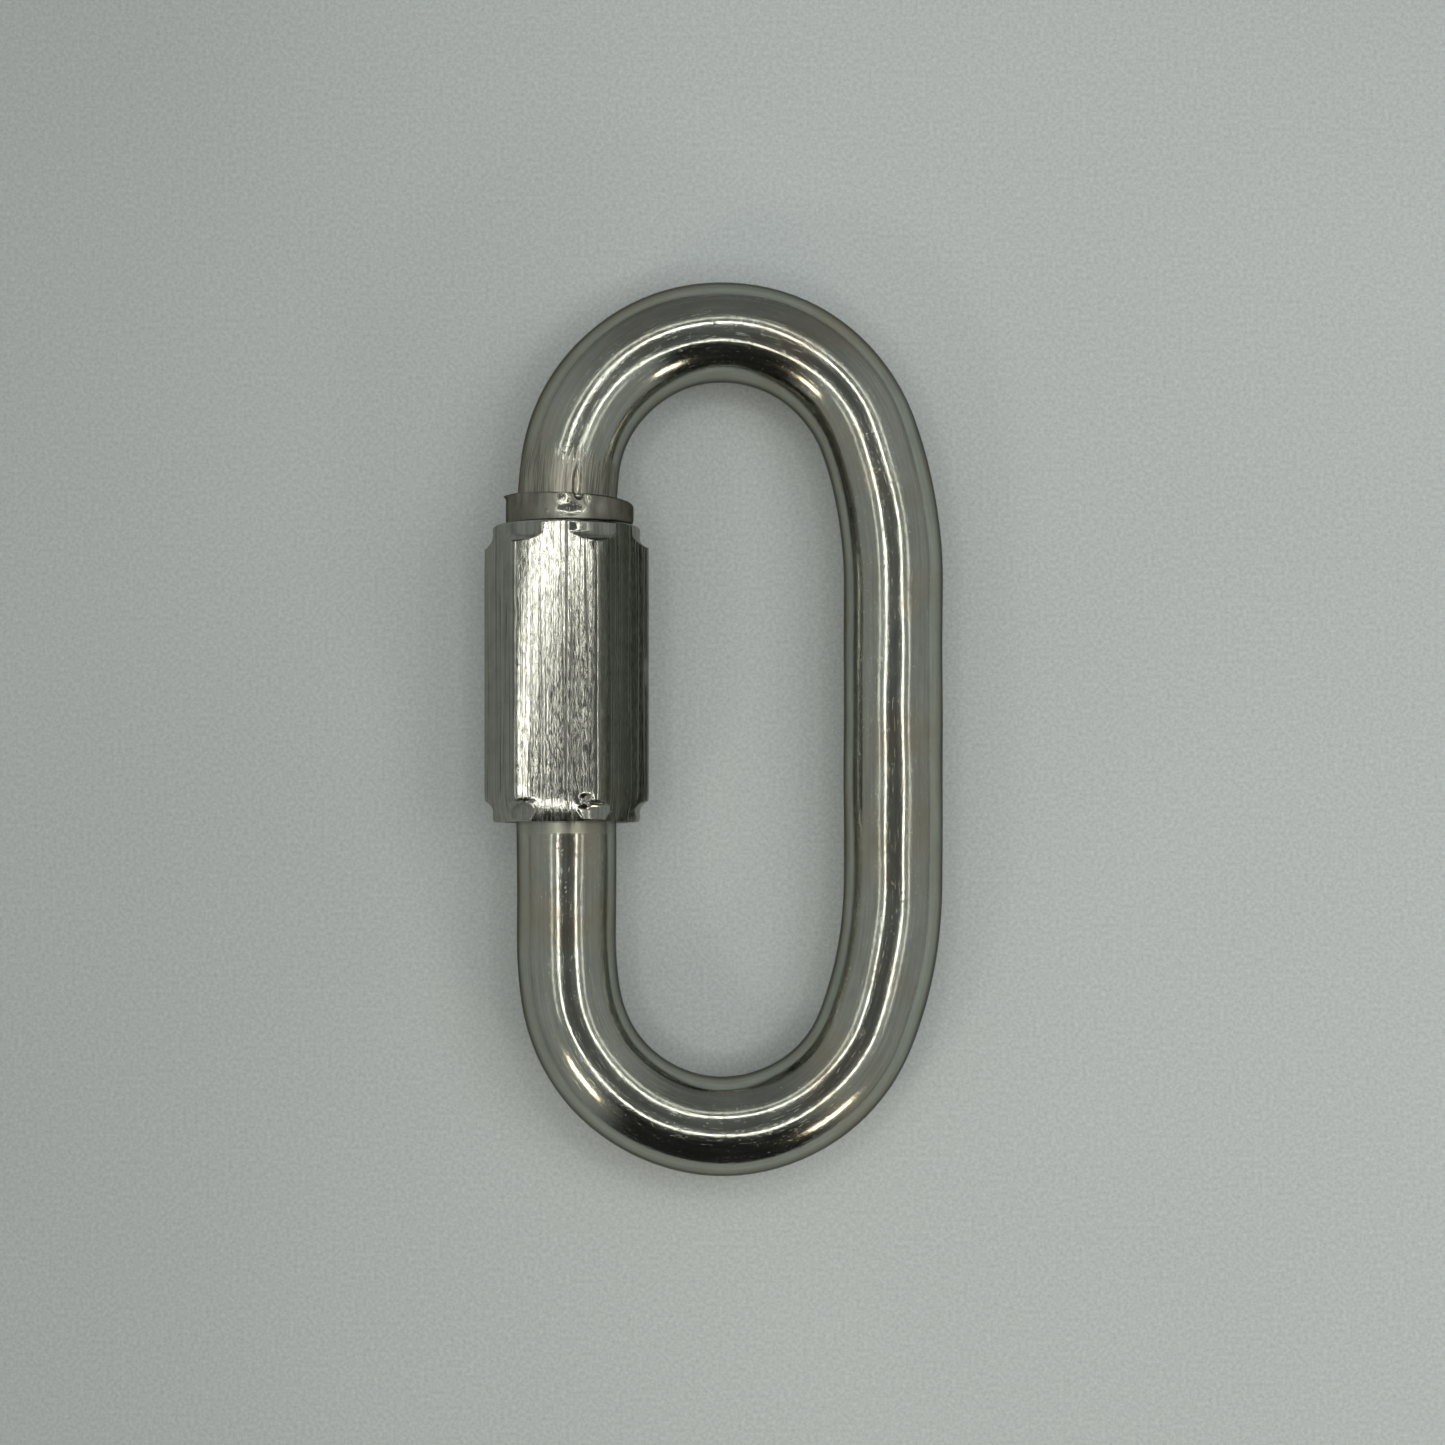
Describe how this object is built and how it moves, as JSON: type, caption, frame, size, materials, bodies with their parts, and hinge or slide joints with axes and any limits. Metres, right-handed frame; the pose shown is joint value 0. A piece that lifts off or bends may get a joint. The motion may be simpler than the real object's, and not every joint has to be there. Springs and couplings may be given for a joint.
{
  "type": "screw-lock quick link",
  "caption": "Oval steel quick link: a bent round bar whose open leg is closed by a long hexagonal nut that screws up to a collar.",
  "frame": {"origin": "centre of the link's eye, in the bar's mid plane", "axes": "+Y along the link towards the collar, +Z square to the link's plane, the nut on the -X leg"},
  "size_m": [0.0368, 0.0716, 0.0124],
  "materials": {
    "bar_steel": "drawn and tumbled stainless steel bar, bright with fine draw lines along it",
    "nut_steel": "drawn hexagon stainless steel, satin flats with streaks along the nut and turned ends"
  },
  "bodies": {
    "link": {"link_bar": "bar_steel"},
    "nut_carriage": {"nut_thread": "nut_steel"},
    "nut": {"nut_sleeve": "nut_steel"}
  },
  "joints": [
    {"name": "nut_travel", "type": "slide", "parent": "link", "child": "nut_carriage", "axis": [0, -1, 0], "range_m": [0, 0.01125]},
    {"name": "nut_turn", "type": "hinge", "parent": "nut_carriage", "child": "nut", "pos_m": [-0.0131, 0.0045, 0], "axis": [0, -1, 0], "range_deg": [0, 3240]}
  ],
  "couplings": [
    {"joint": "nut_travel", "follows": "nut_turn", "m_per_rad": 0.00019894}
  ]
}
